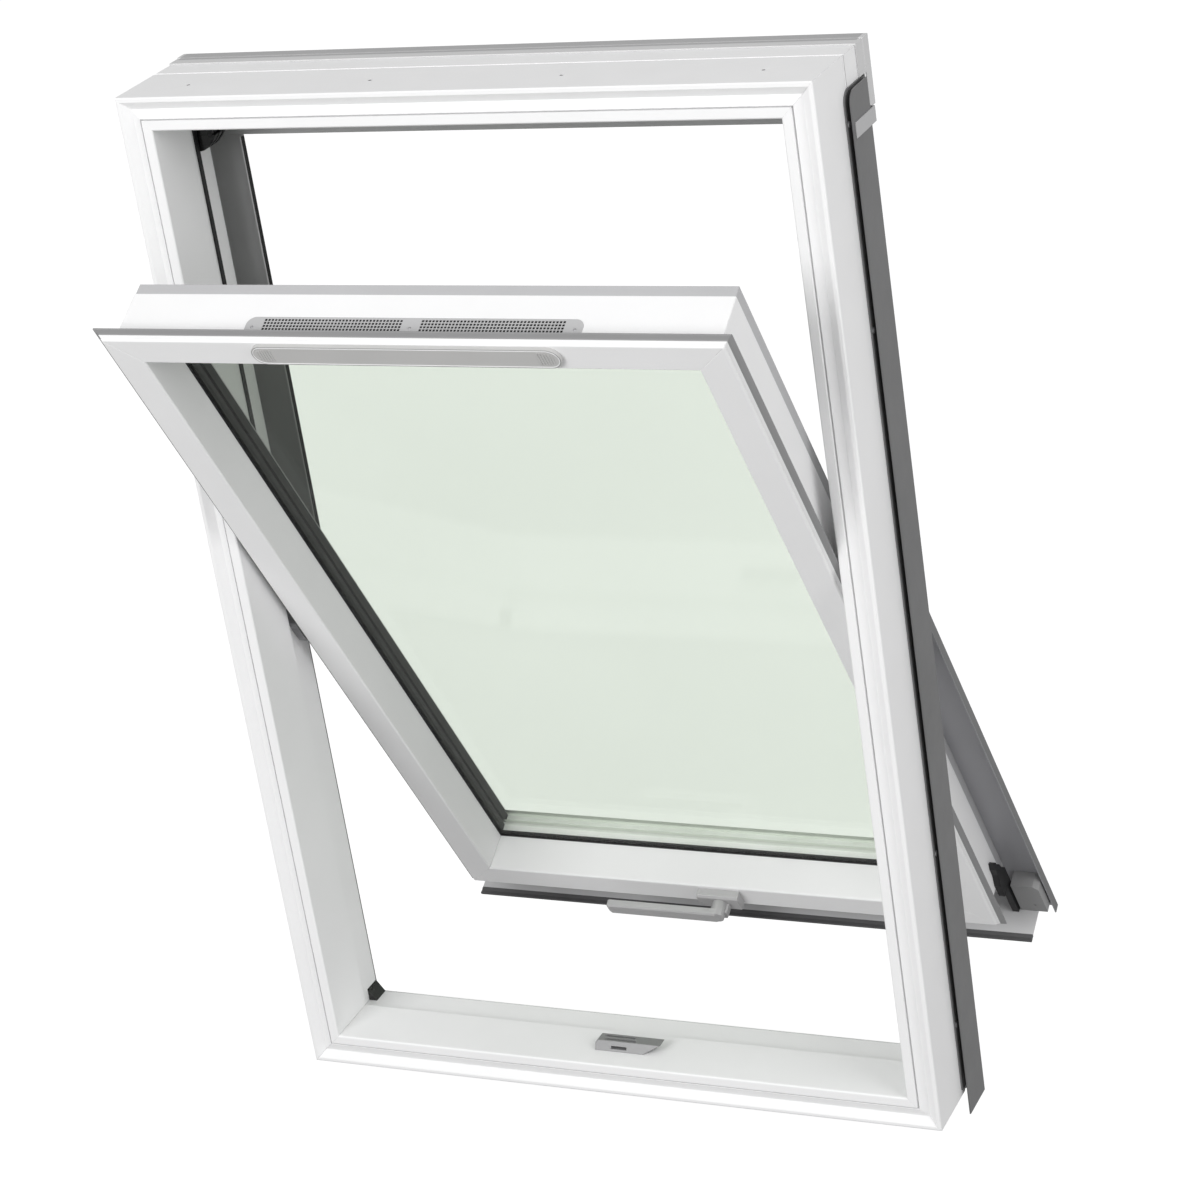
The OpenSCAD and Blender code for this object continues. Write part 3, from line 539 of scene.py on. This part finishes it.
FLOOR_HALF = 60.0
FLOOR_Z = -0.06
FLOOR_GLOW = 0.92
SKY_LOW = (0.40, 0.40, 0.40, 1)
SKY_HIGH = (0.90, 0.90, 0.90, 1)
SKY_STRENGTH = 0.74
LIGHTS_AIM = Vector((0.0, 0.1, 0.6))
CAMERA_PLACE = Vector((1.56802, -2.94010, 2.04468))
CAMERA_RIGHT = Vector((0.90635798, 0.39702472, -0.14452193))
CAMERA_DOWN = Vector((0.04181511, -0.42466572, -0.90438406))
CAMERA_AHEAD = Vector((-0.42043633, 0.81365251, -0.40150079))
SENSOR_MM = 36.0
LENS_MM = 101.1409
VIEW_END = 300.0


def white_floor():
    """A matt white ground that glows, and neither tints nor mirrors in the window."""
    mesh = bpy.data.meshes.new("floor")
    corners = ((-1, -1), (1, -1), (1, 1), (-1, 1))
    mesh.from_pydata([(FLOOR_HALF * x, FLOOR_HALF * y, FLOOR_Z) for x, y in corners], [], [(0, 1, 2, 3)])
    floor = bpy.data.objects.new("floor", mesh)
    scene.collection.objects.link(floor)
    mat, _, shader, _ = new_material("floor_white")
    shader.inputs["Base Color"].default_value = (0.2, 0.2, 0.2, 1)
    shader.inputs["Roughness"].default_value = 1.0
    shader.inputs["Specular IOR Level"].default_value = 0.0
    shader.inputs["Emission Color"].default_value = (1, 1, 1, 1)
    shader.inputs["Emission Strength"].default_value = FLOOR_GLOW
    mesh.materials.append(mat)
    floor.visible_diffuse = False
    floor.visible_glossy = False


def studio_world():
    """Soft light from all sides, brighter from above."""
    world = bpy.data.worlds.new("studio")
    scene.world = world
    world.use_nodes = True
    tree = world.node_tree
    sky = tree.nodes["Background"]
    coords = tree.nodes.new("ShaderNodeTexCoord")
    split = tree.nodes.new("ShaderNodeSeparateXYZ")
    height = tree.nodes.new("ShaderNodeMapRange")
    height.inputs["From Min"].default_value = -1.0
    height.inputs["From Max"].default_value = 1.0
    shades = tree.nodes.new("ShaderNodeValToRGB")
    shades.color_ramp.elements[0].color = SKY_LOW
    shades.color_ramp.elements[1].color = SKY_HIGH
    tree.links.new(coords.outputs["Generated"], split.inputs["Vector"])
    tree.links.new(split.outputs["Z"], height.inputs["Value"])
    tree.links.new(height.outputs["Result"], shades.inputs["Fac"])
    tree.links.new(shades.outputs["Color"], sky.inputs["Color"])
    sky.inputs["Strength"].default_value = SKY_STRENGTH


def area_light(name, place, size, power):
    """A round soft light that looks at the window."""
    data = bpy.data.lights.new(name, "AREA")
    data.shape = "DISK"
    data.size = size
    data.energy = power
    obj = bpy.data.objects.new(name, data)
    scene.collection.objects.link(obj)
    obj.location = place
    obj.rotation_euler = (LIGHTS_AIM - Vector(place)).to_track_quat("-Z", "Y").to_euler()


def photo_camera():
    """The camera that was fitted to the photo."""
    data = bpy.data.cameras.new("camera")
    data.sensor_width = SENSOR_MM
    data.lens = LENS_MM
    data.clip_end = VIEW_END
    camera = bpy.data.objects.new("camera", data)
    scene.collection.objects.link(camera)
    turn = Matrix((CAMERA_RIGHT, -CAMERA_DOWN, -CAMERA_AHEAD)).transposed()
    camera.matrix_world = Matrix.Translation(CAMERA_PLACE) @ turn.to_4x4()
    scene.camera = camera


white_floor()
studio_world()
area_light("key", place=(-1.0, -3.5, 2.2), size=2.4, power=80)
area_light("fill", place=(3.0, -1.2, 1.8), size=2.2, power=38)
photo_camera()
scene.view_settings.view_transform = "Standard"

bpy.context.view_layer.update()
